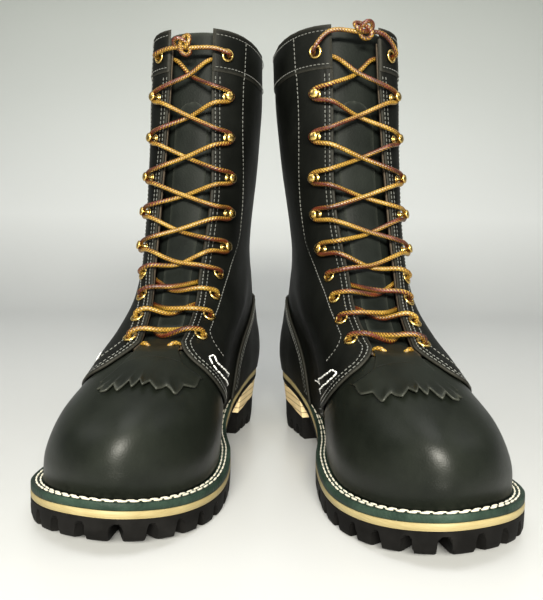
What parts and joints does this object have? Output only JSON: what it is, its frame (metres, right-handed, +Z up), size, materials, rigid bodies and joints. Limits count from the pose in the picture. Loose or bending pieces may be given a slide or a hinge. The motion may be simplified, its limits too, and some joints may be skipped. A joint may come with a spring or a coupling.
{
  "type": "lace-up fire boots",
  "caption": "A pair of tall black leather lace-up fire boots with lug soles, stacked heels, fringed kilties and brass hooks.",
  "frame": {"origin": "on the ground under the middle of the pair", "axes": "+X to the wearer's left, +Y to the heels, +Z up; the toes point towards -Y"},
  "size_m": [0.3098, 0.3256, 0.3397],
  "materials": {
    "leather": "smooth black leather with a soft sheen",
    "stiffener": "hard toe stiffener",
    "natural_leather": "undyed sole leather, cut edge",
    "welt_leather": "dark green-black welt",
    "rubber": "matt black lug rubber",
    "brass": "polished brass",
    "steel": "plain spring steel",
    "lace": "braided gold cord flecked red-brown"
  },
  "bodies": {
    "right_boot": {"right_outsole": "rubber", "right_heel_toplift": "rubber", "right_heel_lift": "natural_leather", "right_midsole": "natural_leather", "right_welt": "welt_leather", "right_insole": "natural_leather", "right_shank": "steel", "right_vamp": "leather", "right_toe_box": "stiffener", "right_counter": "leather", "right_quarter_medial": "leather", "right_quarter_lateral": "leather", "right_eyelet_strip_medial": "brass", "right_eyelet_strip_lateral": "brass", "right_collar_band": "leather", "right_backstay": "leather", "right_kiltie": "leather", "right_lace": "lace", "right_hook_medial_1": "brass", "right_hook_medial_2": "brass", "right_hook_medial_3": "brass", "right_hook_medial_4": "brass", "right_hook_medial_5": "brass", "right_hook_lateral_1": "brass", "right_hook_lateral_2": "brass", "right_hook_lateral_3": "brass", "right_hook_lateral_4": "brass", "right_hook_lateral_5": "brass"},
    "right_tongue_body": {"right_tongue": "leather"},
    "right_fringe_body": {"right_kiltie_fringe": "leather"},
    "left_boot": {"left_outsole": "rubber", "left_heel_toplift": "rubber", "left_heel_lift": "natural_leather", "left_midsole": "natural_leather", "left_welt": "welt_leather", "left_insole": "natural_leather", "left_shank": "steel", "left_vamp": "leather", "left_toe_box": "stiffener", "left_counter": "leather", "left_quarter_medial": "leather", "left_quarter_lateral": "leather", "left_eyelet_strip_medial": "brass", "left_eyelet_strip_lateral": "brass", "left_collar_band": "leather", "left_backstay": "leather", "left_kiltie": "leather", "left_lace": "lace", "left_hook_medial_1": "brass", "left_hook_medial_2": "brass", "left_hook_medial_3": "brass", "left_hook_medial_4": "brass", "left_hook_medial_5": "brass", "left_hook_lateral_1": "brass", "left_hook_lateral_2": "brass", "left_hook_lateral_3": "brass", "left_hook_lateral_4": "brass", "left_hook_lateral_5": "brass"},
    "left_tongue_body": {"left_tongue": "leather"},
    "left_fringe_body": {"left_kiltie_fringe": "leather"}
  },
  "joints": [
    {"name": "right_tongue_fold", "type": "hinge", "parent": "right_boot", "child": "right_tongue_body", "pos_m": [-0.0775, -0.0624, 0.096], "axis": [-0.9763, 0.2164, 0], "range_deg": [0, 10]},
    {"name": "right_fringe_lift", "type": "hinge", "parent": "right_boot", "child": "right_fringe_body", "pos_m": [-0.0802, -0.0838, 0.0995], "axis": [-0.9763, 0.2164, 0], "range_deg": [0, 60], "stiffness_Nm_per_rad": 0.004},
    {"name": "left_tongue_fold", "type": "hinge", "parent": "left_boot", "child": "left_tongue_body", "pos_m": [0.0768, -0.0735, 0.096], "axis": [-0.9659, -0.2588, 0], "range_deg": [0, 10]},
    {"name": "left_fringe_lift", "type": "hinge", "parent": "left_boot", "child": "left_fringe_body", "pos_m": [0.0804, -0.0948, 0.0995], "axis": [-0.9659, -0.2588, 0], "range_deg": [0, 60], "stiffness_Nm_per_rad": 0.004},
    {"name": "left_boot_apart", "type": "slide", "parent": "right_boot", "child": "left_boot", "axis": [1, 0, 0], "range_m": [0, 0.15]}
  ]
}
